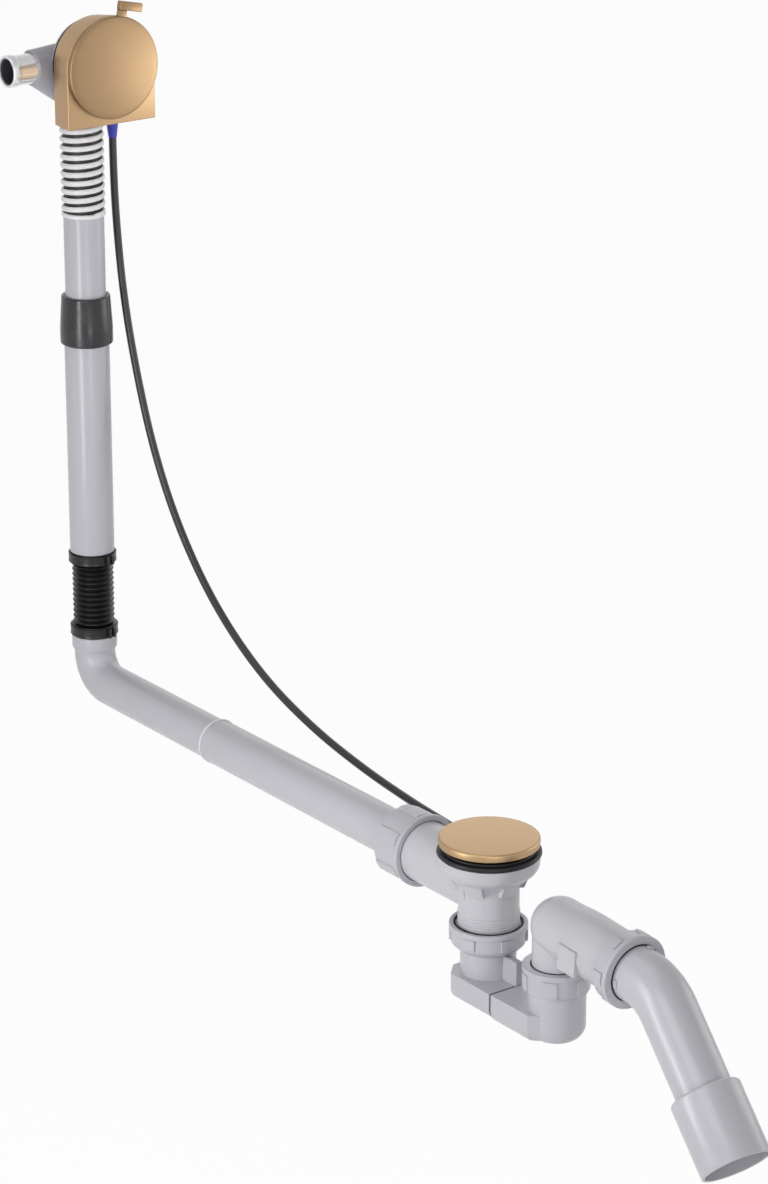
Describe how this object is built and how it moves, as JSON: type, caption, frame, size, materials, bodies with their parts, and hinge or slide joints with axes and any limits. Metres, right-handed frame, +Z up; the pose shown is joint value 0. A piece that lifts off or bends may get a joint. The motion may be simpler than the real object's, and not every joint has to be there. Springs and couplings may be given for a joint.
{
  "type": "bath waste and overflow",
  "caption": "Bath waste with a lifting plug and low trap, joined by pipes to an overflow head with a bath filler inlet; a disc on the head lifts the plug through a cable.",
  "frame": {"origin": "on the waste's axis, on the gasket's top face, where the underside of the bath floor seats", "axes": "+Z up along the waste, +X from the overflow towards the drain outlet, +Y to the side the cable runs on"},
  "size_m": [0.8242, 0.114, 0.6711],
  "materials": {
    "grey_plastic": "moulded satin",
    "grey_cast": "moulded satin",
    "black_plastic": "satin",
    "black_rubber": "matte",
    "white_plastic": "smooth",
    "blue_plastic": "smooth",
    "cable_black": "smooth jacket",
    "brushed_bronze": "brushed",
    "brass": "turned",
    "chrome": "polished",
    "steel": "turned"
  },
  "bodies": {
    "root": {"waste_body": "grey_plastic", "waste_gasket": "black_rubber", "waste_flange": "brushed_bronze", "cable_guide": "brass", "waste_gland": "black_plastic", "control_cable": "cable_black", "inlet_nut": "grey_plastic", "inlet_seal": "black_rubber", "branch_nut": "grey_plastic", "branch_seal": "black_rubber", "overflow_pipe": "grey_plastic", "riser_elbow": "grey_plastic", "lower_clip": "black_plastic", "bellows": "black_rubber", "upper_clip": "black_plastic", "lower_pipe": "grey_plastic", "slide_collar": "black_plastic"},
    "head": {"overflow_body": "grey_cast", "inlet_nipple": "chrome", "overflow_seal": "black_rubber", "clamp_ring": "grey_plastic", "overflow_cover": "brushed_bronze", "cover_screws": "steel", "head_gland": "blue_plastic", "hose_wall": "black_rubber", "hose_spiral": "white_plastic", "upper_pipe": "grey_plastic"},
    "knob": {"control_disc": "brushed_bronze", "finger_lever": "brushed_bronze", "control_spindle": "brass", "spindle_clip": "steel", "cable_drum": "black_plastic"},
    "plug": {"plug_cap": "brushed_bronze", "plug_seal": "black_rubber", "plug_stem": "grey_plastic", "lift_pin": "steel"},
    "trap": {"trap_inlet_half": "grey_plastic", "trap_outlet_half": "grey_plastic", "trap_nut": "grey_plastic", "trap_seal": "black_rubber"},
    "elbow": {"outlet_elbow": "grey_plastic", "outlet_nut": "grey_plastic", "outlet_seal": "black_rubber"},
    "outlet": {"outlet_bend": "grey_plastic", "reducer_sleeve": "grey_plastic"}
  },
  "joints": [
    {"name": "riser_slide", "type": "slide", "parent": "root", "child": "head", "axis": [0, 0, 1], "range_m": [-0.05, 0.04], "deforming": ["control_cable"]},
    {"name": "control_turn", "type": "hinge", "parent": "head", "child": "knob", "pos_m": [-0.47, 0, 0.474], "axis": [1, 0, 0], "range_deg": [0, 75]},
    {"name": "plug_lift", "type": "slide", "parent": "root", "child": "plug", "axis": [0, 0, 1], "range_m": [0, 0.009]},
    {"name": "trap_swivel", "type": "hinge", "parent": "root", "child": "trap", "pos_m": [0, 0, -0.07], "axis": [0, 0, 1], "range_deg": [-90, 90]},
    {"name": "elbow_swivel", "type": "hinge", "parent": "trap", "child": "elbow", "pos_m": [0.077, 0, -0.07], "axis": [0, 0, 1], "range_deg": [-60, 60]},
    {"name": "outlet_swivel", "type": "hinge", "parent": "elbow", "child": "outlet", "pos_m": [0.1598, 0, -0.03599], "axis": [0.9976, 0, -0.0698], "range_deg": [-90, 90]}
  ],
  "couplings": [
    {"joint": "plug_lift", "follows": "control_turn", "m_per_rad": 0.006875}
  ]
}
